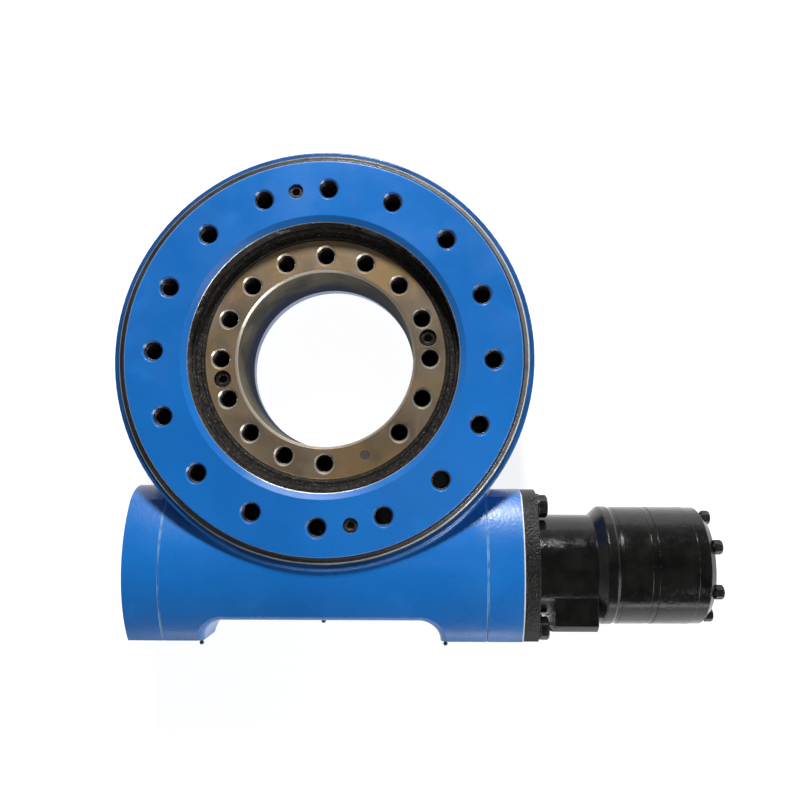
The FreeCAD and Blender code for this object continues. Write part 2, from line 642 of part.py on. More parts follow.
# ---------------------------------------------------------------- taper roller bearings
def roller_bearing(side, bore, outer, width, mean, inner_face):
    """Cup, cone, rollers and cage whose running lines meet at one point on the axis."""
    sign = -1 if side == "left" else 1
    middle = inner_face + width / 2
    apex = mean / tangent(12)
    count = int(of("roller_count").value)

    def line(angle, along):
        return (apex - along) * tangent(angle)

    def turned_here(name, points):
        if sign < 0:
            points = [(r, -z) for r, z in points]
            middle_here = -middle
        else:
            middle_here = middle
        return on_shaft(turned(name, points), middle_here)

    back = width / 2
    name_part(turned_here("bearing_cup_" + side, [
        (line(13.6, -back) + 0.2, -back), (outer - 0.5, -back), (outer - 0.04, 0.5 - back),
        (outer - 0.04, back - 2.5), (outer - 0.6, back - 2), (line(13.6, back - 2) + 0.2, back - 2)]),
        "bearing_cup_" + side)
    name_part(turned_here("bearing_cone_" + side, [
        (bore + 0.03, -back), (line(10.4, -back) + 1.2, -back), (line(10.4, 1.6 - back) + 1.2, 1.6 - back),
        (line(10.4, 1.6 - back) - 0.2, 1.6 - back), (line(10.4, back - 2.4) - 0.2, back - 2.4),
        (line(10.4, back - 2.4) + 0.8, back - 2.4), (line(10.4, back - 1) + 0.8, back - 1),
        (bore + 0.03, back - 1)]), "bearing_cone_" + side)
    low = 2.5 - back
    high = back - 3
    slope = cosine(12)
    large = (apex - low) / slope * tangent(1.6) - 0.12
    small = (apex - high) / slope * tangent(1.6) - 0.12
    rollers = []
    pockets = []
    for k in range(count):
        spot = 360 * k / count
        tilt = Rotation(Vector(0, 0, 1), spot) * Rotation(Vector(0, 1, 0), -12)
        if sign < 0:
            tilt = Rotation(Vector(0, 0, 1), spot) * Rotation(Vector(0, 1, 0), 12 + 180)
        x, y = polar(line(12, low), spot)
        length = (high - low) / slope
        along = (middle + low) * sign
        for collection, extra in ((rollers, 0), (pockets, 0.18)):
            roller = cone("roller", large + extra, small + extra, length)
            on_shaft(roller, along, x, y, ALONG_X * tilt)
            collection.append(roller)
    name_part(group("bearing_rollers_" + side, rollers), "bearing_rollers_" + side)
    shell_points = [(line(12.35, 0.4 - back) - 0.1, 0.4 - back), (line(12.35, 0.4 - back) + 0.9, 0.4 - back),
                    (line(12.35, back - 1.6) + 0.9, back - 1.6), (line(12.35, back - 1.6) - 0.1, back - 1.6)]
    name_part(cut("bearing_cage_" + side, turned_here("cage_shell_" + side, shell_points),
                  [group("cage_pockets_" + side, pockets)]), "bearing_cage_" + side)


roller_bearing("left", of("left_bore"), left_outer, of("left_width"), of("left_mean"), seat)
roller_bearing("right", of("right_bore"), right_outer, of("right_width"), of("right_mean"), seat)

# ---------------------------------------------------------------- covers and adapter
cover_low = -end
name_part(cut("worm_end_cover", on_shaft(turned("cover_body", [
    (0, 0), (38.9, 0), (40, 1.1), (40, 8.95), (left_outer - 0.06, 8.95),
    (left_outer - 0.06, 20), (left_outer - 2.2, 20), (left_outer - 2.2, 23.4), (left_outer - 0.06, 23.4),
    (left_outer - 0.06, end + left_face - 0.05), (24, end + left_face - 0.05), (24, 12), (0, 12)]),
    cover_low), [
        group("cover_ways", [on_shaft(cylinder("cover_way", 2.7, 12), -end - 1, *polar(35.4, a))
                             for a in cover_angles]),
        group("cover_pits", [on_shaft(cylinder("cover_pit", 4.45, 7), -end - 1, *polar(35.4, a))
                             for a in cover_angles])]), "worm_end_cover")
OUTWARD = ALONG_X * Rotation(Vector(0, 1, 0), 180)
cover_screws = []
for angle in cover_angles:
    side, up = polar(35.4, angle)
    cover_screws.append(socket_screw("cover_screw", 2.5, 14, 4.2, 5,
                                     (cover_low + 0.6, axis_y + side, axis_z + up), OUTWARD))
name_part(group("worm_cover_screws", cover_screws), "worm_cover_screws")
name_part(on_shaft(torus("worm_cover_oring", left_outer - 1.15, 1.02), cover_low + 21.7),
          "worm_cover_oring")
name_part(on_shaft(turned("bearing_sleeve", [
    (29, right_face - 1.9), (right_outer - 0.05, right_face - 1.9), (right_outer - 0.05, end - 0.1),
    (29, end - 0.1)]), 0), "bearing_sleeve")
adapter_end = end + of("adapter_thickness")
plate_core = crowned_bar("adapter_core", end, of("adapter_thickness"), RIGHT_NOSE, 0.4)
motor_screw_spots = [polar(33, 45 + 90 * k) for k in range(4)]
name_part(cut("adapter_flange", plate_core, [
    on_shaft(cylinder("adapter_bore", 20, 20), end - 4),
    on_shaft(cylinder("adapter_pilot", 25, 10), end + 4),
    group("flange_ways", [on_shaft(cylinder("flange_way", 5.5, 20), end - 4, dy, dz)
                          for dy, dz in CORNERS]),
    group("motor_screw_ways", [on_shaft(cylinder("motor_screw_way", 3.4, 20), end - 4, *spot)
                               for spot in motor_screw_spots]),
    group("motor_screw_pits", [on_shaft(cylinder("motor_screw_pit", 5.6, 11), end - 4, *spot)
                               for spot in motor_screw_spots])]), "adapter_flange")
flange_bolts = []
for dy, dz in CORNERS:
    flange_bolts.append(fuse("flange_bolt", [
        common("bolt_head", [
            on_shaft(hexagon("bolt_hex", 16, 7), adapter_end + 1.5, dy, dz),
            on_shaft(turned("bolt_crown", [(0, 0), (8.6, 0), (9.4, 0.6), (9.4, 5.6), (7.6, 7), (0, 7)]),
                     adapter_end + 1.5, dy, dz)]),
        on_shaft(cylinder("bolt_washer", 9, 1.5), adapter_end, dy, dz),
        on_shaft(cylinder("bolt_shank", 5, 40), adapter_end - 38, dy, dz)]))
name_part(group("flange_bolts", flange_bolts), "flange_bolts")
name_part(group("motor_screws", [
    socket_screw("motor_screw", 3.35, 20, 5.5, 6, (end + 0.6, axis_y + dy, axis_z + dz), OUTWARD)
    for dy, dz in motor_screw_spots]), "motor_screws")
name_part(on_shaft(turned("shaft_seal", [
    (11.3, 0.2), (12.4, 0.2), (12.4, 2.6), (18.6, 2.6), (18.6, 0.2), (19.9, 0.2), (19.9, 4.4),
    (11.8, 4.4), (11.3, 3.4)]), end), "shaft_seal")

# ---------------------------------------------------------------- motor
neck = of("neck_radius")
motor_radius = of("motor_radius")
neck_end = of("neck_end")
barrel_start = of("barrel_start")
body_end = of("body_end")
plate_end = of("plate_end")
set_end = of("gear_set_end")
motor_end = of("motor_end")
block_y = -218
motor_outside = on_shaft(turned("motor_outside", [
    (0, end + 5), (24.9, end + 5), (24.9, adapter_end), (neck - 0.8, adapter_end), (neck, adapter_end + 0.8),
    (neck, neck_end), (motor_radius - 0.4, barrel_start - 0.6), (motor_radius + 0.4, barrel_start + 0.8),
    (motor_radius + 0.4, barrel_start + 6.8), (motor_radius - 0.5, barrel_start + 8.2),
    (motor_radius - 0.5, barrel_start + 11), (motor_radius, barrel_start + 12),
    (motor_radius, body_end - 0.4), (motor_radius - 0.4, body_end), (0, body_end)]), 0)
port_block = common("port_block", [
    box("port_box", 34, 60, 68, (183, block_y, axis_z - 34)),
    cylinder("port_round", 50, 34, (183, axis_y - 8, axis_z), Rotation(Vector(0, 1, 0), 90))])
ports = [(191, axis_z - 10), (208, axis_z + 10)]
bolt_spots = [polar(of("motor_bolt_circle"), 90 + 360 * (k + 0.5) / of("roll_count"))
              for k in range(int(of("roll_count").value))]
name_part(cut("motor_body", fuse("motor_solid", [motor_outside, port_block]), [
    on_shaft(turned("motor_inside", [
        (0, end), (16, end), (16, 190), (22, 190), (22, body_end + 1), (0, body_end + 1)]), 0),
    group("ports", [cylinder("port", 7.9, 17, (x, block_y + 16, z), FACE_Y) for x, z in ports]),
    group("port_faces", [cylinder("port_face", 11, 2, (x, block_y + 0.8, z), FACE_Y)
                         for x, z in ports]),
    group("port_ways", [cylinder("port_way", 4, 30, (x, block_y + 40, z), FACE_Y)
                        for x, z in ports]),
    group("motor_threads", [on_shaft(cylinder("motor_thread", 3.4, 20), adapter_end - 1, *spot)
                            for spot in motor_screw_spots]),
    group("rear_threads", [on_shaft(cylinder("rear_thread", 3.05, 22), body_end - 20, *spot)
                           for spot in bolt_spots])]), "motor_body")
name_part(cut("port_plug", fuse("port_plug_solid", [
    cylinder("port_plug_thread", 7.8, 11, (ports[0][0], block_y + 10, ports[0][1]), FACE_Y),
    cylinder("port_plug_flange", 9.6, 2, (ports[0][0], block_y + 0.75, ports[0][1]), FACE_Y),
    hexagon("port_plug_hex", 14, 4.4, (ports[0][0], block_y - 1.2, ports[0][1]), FACE_Y)]), [
        cylinder("port_plug_dimple", 3, 3, (ports[0][0], block_y - 3.4, ports[0][1]), FACE_Y)]),
    "port_plug")
shaft_blank = on_shaft(turned("motor_shaft_body", [
    (0, 120), (10, 120), (10.98, 121), (10.98, adapter_end - 1), (15.95, adapter_end), (15.95, 190.3),
    (21.95, 190.3), (21.95, 252), (12, 252), (12, 214), (0, 212)]), 0)
name_part(cut("motor_shaft", shaft_blank, [
    box("shaft_keyway", 28, 10, 8.06, (121.9, axis_y + 7, axis_z - 4.03))]), "motor_shaft")
name_part(common("shaft_key", [
    box("key_bar", 27.8, 6.9, 7.94, (122, axis_y + 7.1, axis_z - 3.97)),
    on_shaft(cylinder("key_zone", 30, 27.8), 122)]), "shaft_key")

gap = of("eccentricity")
link_lean = math.degrees(math.atan2(gap.value, 54))
link_blank = turned("drive_link", [
    (0, -8), (8, -8), (10.6, -4.5), (11, 0), (10.6, 4.5), (7, 8), (7, 46), (10.6, 49.5), (11, 54),
    (10.6, 58.5), (8, 62), (0, 62)])
on_shaft(link_blank, 223, 0, 0, ALONG_X * Rotation(Vector(1, 0, 0), -link_lean))
name_part(link_blank, "drive_link")
name_part(cut("spacer_plate", on_shaft(cylinder("spacer_disc", motor_radius - 0.25,
                                                plate_end - body_end - 0.1), body_end + 0.05), [
    on_shaft(cylinder("spacer_hole", 17, 10), body_end - 1),
    group("spacer_ways", [on_shaft(cylinder("spacer_way", 3.1, 10), body_end - 1, *spot)
                          for spot in bolt_spots])]), "spacer_plate")
roll_spots = [polar(of("roll_circle"), 90 + 360 * k / of("roll_count"))
              for k in range(int(of("roll_count").value))]
set_length = set_end - plate_end
name_part(cut("gerotor_ring", on_shaft(cylinder("gerotor_disc", motor_radius, set_length), plate_end), [
    on_shaft(cylinder("gerotor_hole", 32.5, set_length + 2), plate_end - 1),
    group("roll_pockets", [on_shaft(cylinder("roll_pocket", of("roll_radius") + 0.05, set_length + 2),
                                    plate_end - 1, *spot) for spot in roll_spots]),
    group("gerotor_ways", [on_shaft(cylinder("gerotor_way", 3.1, set_length + 2), plate_end - 1, *spot)
                           for spot in bolt_spots])]), "gerotor_ring")
name_part(group("gerotor_rolls", [
    on_shaft(cylinder("gerotor_roll", of("roll_radius"), set_length - 0.3), plate_end + 0.15, *spot)
    for spot in roll_spots]), "gerotor_rolls")


def star_point(angle):
    """Point of the rotor flank that all seven rolls touch, less a running gap."""
    ring = of("roll_circle").value
    roll = of("roll_radius").value + 0.2
    shift = of("eccentricity").value
    rolls = of("roll_count").value
    lean = math.atan2(math.sin((1 - rolls) * angle),
                      ring / (shift * rolls) - math.cos((1 - rolls) * angle))
    x = ring * math.cos(angle) - roll * math.cos(angle + lean) - shift * math.cos(rolls * angle)
    y = -ring * math.sin(angle) + roll * math.sin(angle + lean) + shift * math.sin(rolls * angle)
    return Vector(x, y, 0)


# The rotor's flank is a formula, which no sketch line or primitive gives.
star_curve = Part.BSplineCurve()
star_curve.interpolate(Points=[star_point(2 * math.pi * k / 240) for k in range(240)],
                       PeriodicFlag=True)
star_face = Part.Face(Part.Wire(star_curve.toShape()))
star_solid = doc.addObject("Part::Feature", "star_blank")
star_solid.Shape = star_face.extrude(Vector(0, 0, of("gear_set_end").value
                                            - of("plate_end").value - 0.3))
on_shaft(star_solid, plate_end + 0.15, 0, gap, ALONG_X * Rotation(Vector(0, 0, 1), 90))
name_part(cut("gerotor_star", star_solid, [
    on_shaft(cylinder("star_bore", 12, set_length + 2), plate_end - 1, 0, gap)]), "gerotor_star")
name_part(cut("motor_end_cover", on_shaft(turned("end_cover_body", [
    (0, set_end + 0.05), (motor_radius - 0.3, set_end + 0.05), (motor_radius - 0.3, motor_end - 5),
    (motor_radius - 5.3, motor_end), (0, motor_end)]), 0), [
        on_shaft(cylinder("cover_relief", 14, 3), set_end - 1),
        group("end_ways", [on_shaft(cylinder("end_way", 3.1, 20), set_end - 1, *spot)
                           for spot in bolt_spots])]), "motor_end_cover")
end_bolts = []
for dy, dz in bolt_spots:
    end_bolts.append(fuse("end_bolt", [
        common("end_head", [
            on_shaft(hexagon("end_hex", 10, 6.4), motor_end, dy, dz),
            on_shaft(turned("end_crown", [(0, 0), (5.3, 0), (5.85, 0.4), (5.85, 5.2), (4.7, 6.4),
                                          (0, 6.4)]), motor_end, dy, dz)]),
        on_shaft(cylinder("end_shank", 3, motor_end - body_end + 17), body_end - 16, dy, dz)]))
name_part(group("motor_end_bolts", end_bolts), "motor_end_bolts")

# ---------------------------------------------------------------- grease nipples
nipples = []
for x, y in NIPPLES:
    nipple_turn = turned("nipple_stem", [
        (0, -7), (2.5, -7), (2.5, 0.1), (2.9, 0.1), (2.9, 2), (1.4, 2.6), (1.3, 4.6), (1.9, 5.4),
        (1.9, 6.2), (1, 7.4), (0, 7.4)])
    place(nipple_turn, (x, y, axis_z), FACE_Y)
    nipples.append(fuse("nipple", [nipple_turn,
                                   hexagon("nipple_hex", 6, 1.9, (x, y - 0.1, axis_z), FACE_Y)]))
name_part(group("grease_nipples", nipples), "grease_nipples")

# ---------------------------------------------------------------- check and write
doc.recompute()
for thing in doc.Objects:
    if "Invalid" in thing.State or "Error" in thing.State:
        raise RuntimeError("not built: %s %s" % (thing.Name, thing.Label))
for label, thing in NODES:
    shape = thing.Shape
    if shape.isNull() or not shape.isValid():
        raise RuntimeError("bad shape: " + label)
    shape.exportStep("parts/%s.step" % label)
    print("%-24s solids %3d volume %12.1f" % (label, len(shape.Solids), shape.Volume))
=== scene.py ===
import json
import math

import bmesh
import bpy
from mathutils import Matrix, Vector


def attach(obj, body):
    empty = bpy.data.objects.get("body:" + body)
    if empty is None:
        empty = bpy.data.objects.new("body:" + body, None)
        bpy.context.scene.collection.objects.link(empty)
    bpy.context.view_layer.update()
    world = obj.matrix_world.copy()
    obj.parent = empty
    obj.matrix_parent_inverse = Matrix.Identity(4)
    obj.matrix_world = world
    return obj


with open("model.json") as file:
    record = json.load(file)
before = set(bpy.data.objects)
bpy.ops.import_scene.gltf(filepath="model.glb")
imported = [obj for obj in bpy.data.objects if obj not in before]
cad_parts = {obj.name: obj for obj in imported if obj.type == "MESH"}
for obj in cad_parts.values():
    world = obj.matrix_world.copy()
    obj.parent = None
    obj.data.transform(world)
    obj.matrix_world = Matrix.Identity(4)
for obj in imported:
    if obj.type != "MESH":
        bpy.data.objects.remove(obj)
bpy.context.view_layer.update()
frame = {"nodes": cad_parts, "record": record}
NODES = frame["nodes"]
MOUNTS = {mount["name"]: mount for mount in frame["record"]["mounts"]}
MM = 0.001

# Sizes in metres and angles in degrees: from the record's mounts, and below from the part's source.
turning_bolts = MOUNTS["turning_bolts"]["dims"]
OUTER_CIRCLE = turning_bolts["pcd_mm"] / 2 * MM
HOLE_COUNT = turning_bolts["count"]
HOLE_RADIUS = turning_bolts["hole_r_mm"] * MM
INNER_CIRCLE = MOUNTS["fixed_bolt_00"]["pos_m"][0]
BORE_RADIUS = MOUNTS["centre_bore"]["dims"]["r_mm"] * MM
INNER_TOP = MOUNTS["fixed_face"]["pos_m"][2]
FACE_TOP = MOUNTS["turning_face"]["pos_m"][2]

OUTER_PHASE = -1.6              # turn of the outer circle's first hole away from +X
PIN_PLACE = 13                  # the inner circle's place that holds the pin instead of a hole
PIN_CLEAR = (0.011, 0.014)      # hole marks fade in over these distances from the pin
MOUTH_RADIUS = 0.00865          # of the inner holes' chamfers
RIM_TOP = 0.0975                # housing rim round the turning ring
RIM_INNER_RADIUS = 0.1632
SEAL_BAND_RADIUS = 0.1600       # inner edge of the steel band between ring face and rim
SEAL_WALL_RADIUS = 0.1083       # the turning ring's bare wall beside the inner seal
CASE_END = 0.159                # motor end of the worm case, along X
CASE_BACK = -0.105              # all the worm case's marks lie beyond this, along Y
SEAM_X = 0.130                  # seams across the worm case, on both sides, with painted highlights along them


# ------------------------------------------------------------------ node helpers
class Graph:
    """A material's node tree with short ways to add and join nodes."""

    def __init__(self, name):
        self.material = bpy.data.materials.new(name)
        self.material.use_nodes = True
        self.tree = self.material.node_tree
        self.tree.nodes.clear()
        self.shader = self.tree.nodes.new("ShaderNodeBsdfPrincipled")
        output = self.tree.nodes.new("ShaderNodeOutputMaterial")
        self.tree.links.new(self.shader.outputs["BSDF"], output.inputs["Surface"])
        self.place = self.tree.nodes.new("ShaderNodeTexCoord").outputs["Object"]

    def join(self, value, socket):
        if isinstance(value, bpy.types.NodeSocket):
            self.tree.links.new(value, socket)
        elif isinstance(value, tuple) and len(value) == 3 and socket.type == "RGBA":
            socket.default_value = (*value, 1)
        else:
            socket.default_value = value

    def math(self, operation, first, second=None, clamp=False):
        node = self.tree.nodes.new("ShaderNodeMath")
        node.operation = operation
        node.use_clamp = clamp
        self.join(first, node.inputs[0])
        if second is not None:
            self.join(second, node.inputs[1])
        return node.outputs[0]

    def noise(self, scale, detail=4.0, roughness=0.55, distortion=0.0, at=None):
        node = self.tree.nodes.new("ShaderNodeTexNoise")
        self.join(at if at is not None else self.place, node.inputs["Vector"])
        node.inputs["Scale"].default_value = scale
        node.inputs["Detail"].default_value = detail
        node.inputs["Roughness"].default_value = roughness
        node.inputs["Distortion"].default_value = distortion
        return node.outputs["Fac"]

    def line_noise(self, amount, scale, detail=3.0):
        node = self.tree.nodes.new("ShaderNodeTexNoise")
        node.noise_dimensions = "1D"
        self.join(amount, node.inputs["W"])
        node.inputs["Scale"].default_value = scale
        node.inputs["Detail"].default_value = detail
        return node.outputs["Fac"]

    def cells(self, scale, feature="F1"):
        node = self.tree.nodes.new("ShaderNodeTexVoronoi")
        node.feature = feature
        self.join(self.place, node.inputs["Vector"])
        node.inputs["Scale"].default_value = scale
        return node.outputs["Distance"]

    def span(self, value, low, high, to_low=0.0, to_high=1.0):
        """Eases from to_low to to_high while value goes from low to high."""
        node = self.tree.nodes.new("ShaderNodeMapRange")
        node.interpolation_type = "SMOOTHSTEP"
        self.join(value, node.inputs["Value"])
        node.inputs["From Min"].default_value = low
        node.inputs["From Max"].default_value = high
        node.inputs["To Min"].default_value = to_low
        node.inputs["To Max"].default_value = to_high
        return node.outputs["Result"]

    def blend(self, share, first, second):
        """The first colour where share is 0 and the second where it is 1."""
        node = self.tree.nodes.new("ShaderNodeMix")
        node.data_type = "RGBA"
        self.join(share, node.inputs[0])
        self.join(first, node.inputs[6])
        self.join(second, node.inputs[7])
        return node.outputs[2]

    def stretch(self, x, y, z):
        node = self.tree.nodes.new("ShaderNodeMapping")
        self.join(self.place, node.inputs["Vector"])
        node.inputs["Scale"].default_value = (x, y, z)
        return node.outputs["Vector"]

    def axes(self):
        node = self.tree.nodes.new("ShaderNodeSeparateXYZ")
        self.join(self.place, node.inputs[0])
        return node.outputs

    def bump(self, height, distance, strength, normal=None):
        node = self.tree.nodes.new("ShaderNodeBump")
        node.inputs["Strength"].default_value = strength
        node.inputs["Distance"].default_value = distance
        self.join(height, node.inputs["Height"])
        if normal is not None:
            self.join(normal, node.inputs["Normal"])
        return node.outputs["Normal"]

    def soft_edges(self, radius):
        node = self.tree.nodes.new("ShaderNodeBevel")
        node.samples = 4
        node.inputs["Radius"].default_value = radius
        return node.outputs["Normal"]

    def crevice(self, reach):
        """1 in the open, falling to 0 in corners and gaps."""
        node = self.tree.nodes.new("ShaderNodeAmbientOcclusion")
        node.samples = 8
        node.inputs["Distance"].default_value = reach
        return node.outputs["AO"]

    def edge(self, radius):
        """How far the softened normal turns from the true one: high on edges."""
        bevel = self.tree.nodes.new("ShaderNodeBevel")
        bevel.samples = 4
        bevel.inputs["Radius"].default_value = radius
        geometry = self.tree.nodes.new("ShaderNodeNewGeometry")
        dot = self.tree.nodes.new("ShaderNodeVectorMath")
        dot.operation = "DOT_PRODUCT"
        self.tree.links.new(bevel.outputs["Normal"], dot.inputs[0])
        self.tree.links.new(geometry.outputs["Normal"], dot.inputs[1])
        return self.math("SUBTRACT", 1.0, dot.outputs["Value"], clamp=True)

    def length(self, first, second):
        return self.math("SQRT", self.math("ADD", self.math("MULTIPLY", first, first),
                                           self.math("MULTIPLY", second, second)))

    def radius_xy(self):
        x, y, _ = self.axes()
        return self.length(x, y)

    def hole_distance(self, circle, phase):
        """Distance from the axis of the nearest hole of an evenly spaced circle."""
        x, y, _ = self.axes()
        step = 2 * math.pi / HOLE_COUNT
        angle = self.math("ARCTAN2", y, x)
        shifted = self.math("ADD", angle, 4 * math.pi + step / 2 - math.radians(phase))
        local = self.math("SUBTRACT", self.math("MODULO", shifted, step), step / 2)
        radius = self.radius_xy()
        along = self.math("SUBTRACT", self.math("MULTIPLY", radius, self.math("COSINE", local)),
                          circle)
        across = self.math("MULTIPLY", radius, self.math("SINE", local))
        return self.length(along, across)

    def finish(self, color, roughness, metallic=0.0, normal=None, coat=0.0, coat_roughness=0.1,
               specular=0.5):
        self.join(color, self.shader.inputs["Base Color"])
        self.join(roughness, self.shader.inputs["Roughness"])
        self.join(metallic, self.shader.inputs["Metallic"])
        self.shader.inputs["Coat Weight"].default_value = coat
        self.shader.inputs["Coat Roughness"].default_value = coat_roughness
        self.join(specular, self.shader.inputs["Specular IOR Level"])
        if normal is not None:
            self.join(normal, self.shader.inputs["Normal"])
        return self.material


def tuned(low, high, g, scale, detail=4.0):
    """A value that drifts between low and high."""
    return g.span(g.noise(scale, detail), 0.3, 0.7, low, high)


# ------------------------------------------------------------------ materials
BLUE = (0.0065, 0.128, 0.430)
BLUE_DEEP = (0.0050, 0.104, 0.360)
BLUE_PALE = (0.0080, 0.162, 0.520)
BARE_STEEL = (0.660, 0.630, 0.590)
ENAMEL_COAT = 0.20


def enamel(g):
    """Sprayed machine enamel: drifts of tone, painted shade and dirt in corners, dust, scratches,
    worn edges.
    """
    tone = g.blend(tuned(0, 1, g, 7, 5), BLUE_DEEP, BLUE)
    tone = g.blend(g.span(g.noise(24, 6, 0.6, 0.5), 0.54, 0.74, 0, 0.40), tone, BLUE_PALE)
    # Painted shade with dirt: darker navy in corners and gaps, where shade falls.
    crevice_shade_and_dirt = g.span(g.crevice(0.007), 0.30, 0.85, 0.70, 0.0)
    patches = g.span(g.noise(120, 6), 0.3, 0.7, 0.55, 1.0)
    tone = g.blend(g.math("MULTIPLY", crevice_shade_and_dirt, patches), tone, (0.003, 0.014, 0.060))
    dust = g.span(g.noise(900, 2, 0.7), 0.735, 0.80, 0, 0.30)
    tone = g.blend(dust, tone, (0.16, 0.36, 0.62))
    scratch = g.span(g.noise(60, 3, 0.6, 0.4, g.stretch(1, 16, 3)), 0.72, 0.75, 0, 0.22)
    tone = g.blend(scratch, tone, (0.06, 0.24, 0.56))
    worn = g.math("MULTIPLY", g.span(g.edge(0.0006), 0.04, 0.14),
                  g.span(g.noise(170, 5, 0.7), 0.50, 0.62, 0, 0.8))
    tone = g.blend(worn, tone, (0.24, 0.38, 0.55))
    rough = g.math("ADD", tuned(0.22, 0.36, g, 25, 6), g.math("MULTIPLY", crevice_shade_and_dirt, 0.25))
    return tone, rough


def orange_peel(g):
    return g.bump(g.noise(700, 2, 0.4), 0.00005, 0.5, g.soft_edges(0.0008))


def ring_enamel(name):
    """Enamel on the turning ring. It stops at the oily tapped holes, whose walls are painted near
    black and darker lower down as painted shade, and at the bare seal wall.
    """
    g = Graph(name)
    tone, rough = enamel(g)
    _, _, z = g.axes()
    ragged = g.math("MULTIPLY", g.math("SUBTRACT", g.noise(420, 4), 0.5), 0.0006)
    reach = g.math("ADD", g.hole_distance(OUTER_CIRCLE, OUTER_PHASE), ragged)
    inside = g.span(reach, HOLE_RADIUS + 0.00015, HOLE_RADIUS + 0.00035, 1.0, 0.0)
    rim_dark = g.span(reach, HOLE_RADIUS + 0.0003, HOLE_RADIUS + 0.0011, 0.75, 0.0)
    tone = g.blend(rim_dark, tone, (0.002, 0.020, 0.075))
    # Painted shade: the oily hole walls are painted near black, darkest lower down.
    upper = g.span(z, FACE_TOP - 0.012, FACE_TOP - 0.001)
    tone = g.blend(inside, tone, g.blend(upper, (0.010, 0.008, 0.007), (0.040, 0.034, 0.030)))
    turned = g.span(g.math("ADD", g.radius_xy(), ragged), SEAL_WALL_RADIUS + 0.0003,
                    SEAL_WALL_RADIUS + 0.0006, 1.0, 0.0)
    turned = g.math("MULTIPLY", turned, g.span(g.noise(90, 4), 0.25, 0.42))
    tone = g.blend(turned, tone, BARE_STEEL)
    metal = g.math("MAXIMUM", turned, g.math("MULTIPLY", inside, 0.8))
    rough = g.math("ADD", rough, g.math("MULTIPLY", inside, 0.12))
    return g.finish(tone, rough, metal, orange_peel(g), coat=ENAMEL_COAT)


def rim_shade_and_lip(g, tone):
    """Painted shade on the housing's rim, as a navy tone, and a bare line along its inner lip."""
    _, _, z = g.axes()
    radius = g.radius_xy()
    on_rim = g.math("MULTIPLY", g.span(z, RIM_TOP - 0.0035, RIM_TOP - 0.0029),
                    g.span(radius, RIM_INNER_RADIUS - 0.001, RIM_INNER_RADIUS))
    # Painted shade: the rim, lower than the ring face, is darkened to navy.
    tone = g.blend(g.math("MULTIPLY", on_rim, tuned(0.45, 0.75, g, 30, 5)), tone,
                   (0.0025, 0.022, 0.090))
    lip = g.math("MULTIPLY", g.span(radius, RIM_INNER_RADIUS + 0.0004,
                                    RIM_INNER_RADIUS + 0.0009, 1, 0), on_rim)
    return g.blend(g.math("MULTIPLY", lip, tuned(0.2, 0.9, g, 60, 5)), tone, (0.50, 0.55, 0.58))


def case_highlights(g, tone):
    """Painted highlights: a pale line at the worm case's motor end and pale lines along the seams
    across the case.
    """
    x, y, _ = g.axes()
    on_case = g.span(y, CASE_BACK - 0.005, CASE_BACK, 1, 0)
    wander = g.math("MULTIPLY", g.math("SUBTRACT", g.noise(90, 4), 0.5), 0.0010)
    # Painted highlight along the joint at the motor end.
    joint_highlight = g.span(g.math("ADD", x, wander), CASE_END - 0.0012, CASE_END - 0.0007, 0, 0.9)
    tone = g.blend(g.math("MULTIPLY", joint_highlight, on_case), tone, (0.62, 0.66, 0.62))
    # Painted highlight along both seams, lightening their dark grooves.
    from_seam = g.math("ABSOLUTE", g.math("SUBTRACT", g.math("ABSOLUTE", x), SEAM_X))
    seam_highlight = g.math("MULTIPLY", g.span(g.math("ADD", from_seam, wander), 0.0006, 0.0011, 1, 0),
                   g.span(g.noise(70, 4), 0.40, 0.55, 0.15, 0.75))
    return g.blend(g.math("MULTIPLY", seam_highlight, on_case), tone, (0.20, 0.38, 0.60))


def cast_enamel(name):
    """Enamel over the housing's sand casting."""
    g = Graph(name)
    tone, rough = enamel(g)
    tone = case_highlights(g, rim_shade_and_lip(g, tone))
    grit = g.math("ADD", g.math("MULTIPLY", g.noise(260, 5, 0.65), 0.7),
                  g.math("MULTIPLY", g.cells(420, "SMOOTH_F1"), 0.5))
    normal = g.bump(grit, 0.00030, 0.40, orange_peel(g))
    normal = g.bump(g.noise(30, 3), 0.0010, 0.22, normal)
    return g.finish(tone, rough, 0.0, normal, coat=ENAMEL_COAT)


def stained_steel(g, lines):
    """Straw-brown and oily staining over fine rings of tool marks."""
    tone = g.blend(tuned(0, 1, g, 22, 6), (0.110, 0.080, 0.050), (0.235, 0.178, 0.120))
    straw = g.span(g.noise(13, 7, 0.62, 0.6), 0.46, 0.62, 0, 0.80)
    tone = g.blend(straw, tone, (0.250, 0.155, 0.052))
    drawn_out = g.stretch(1.3, 0.8, 1)
    rosy = g.span(g.noise(19, 6, 0.6, 0.8, drawn_out), 0.55, 0.70, 0, 0.55)
    tone = g.blend(rosy, tone, (0.290, 0.185, 0.130))
    oily = g.span(g.noise(46, 7, 0.7, 1.2), 0.62, 0.75, 0, 0.50)
    tone = g.blend(oily, tone, (0.085, 0.062, 0.034))
    tone = g.blend(g.span(lines, 0.35, 0.75, 0, 0.30), tone, (0.400, 0.330, 0.250))
    spots = g.span(g.noise(520, 3, 0.7), 0.66, 0.73, 0, 0.65)
    return g.blend(spots, tone, (0.080, 0.050, 0.028))


def bore_wall(g):
    """1 on the bore's wall below its chamfer, 0 elsewhere."""
    _, _, z = g.axes()
    below = g.span(z, INNER_TOP - 0.0025, INNER_TOP - 0.0012, 1.0, 0.0)
    near = g.span(g.radius_xy(), BORE_RADIUS + 0.0024, BORE_RADIUS + 0.0029, 1.0, 0.0)
    return g.math("MULTIPLY", near, below)


